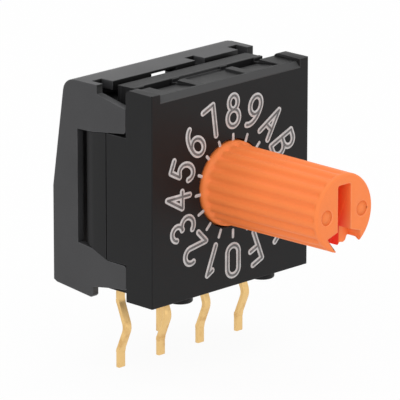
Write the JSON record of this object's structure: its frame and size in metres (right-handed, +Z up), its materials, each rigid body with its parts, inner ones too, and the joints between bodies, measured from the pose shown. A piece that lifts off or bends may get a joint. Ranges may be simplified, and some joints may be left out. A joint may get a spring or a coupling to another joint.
{
  "type": "rotary dip switch",
  "caption": "Right-angle rotary coded dip switch for a circuit board, with a fluted extended shaft, a numbered dial face, a rear support bracket and a row of crimped terminals.",
  "frame": {"origin": "on the board plane on which the switch stands, in the middle of the front row of terminals", "axes": "-Y out of the dial face along the shaft, +Y to the back, +X to the right seen from the dial face, +Z up from the board"},
  "size_m": [0.01, 0.0132, 0.0134],
  "materials": {
    "black_plastic": "matte moulded",
    "base_plastic": "matte moulded",
    "bracket_plastic": "matte moulded",
    "orange_plastic": "satin moulded",
    "seal_rubber": "satin",
    "spring_steel": "rolled",
    "gold_plate": "gold plated, satin"
  },
  "bodies": {
    "switch": {"housing": "black_plastic", "base": "base_plastic", "bracket": "bracket_plastic", "seal_ring": "seal_rubber", "detent_spring_left": "spring_steel", "detent_spring_right": "spring_steel", "terminal_1": "gold_plate", "terminal_2": "gold_plate", "terminal_4": "gold_plate", "terminal_8": "gold_plate", "terminal_common": "gold_plate"},
    "rotor": {"shaft": "orange_plastic", "code_plate": "gold_plate"}
  },
  "joints": [
    {"name": "shaft_turn", "type": "hinge", "parent": "switch", "child": "rotor", "pos_m": [0, -0.0032, 0.00508], "axis": [0, 1, 0], "continuous": true, "deforming": ["detent_spring_left", "detent_spring_right"]}
  ]
}
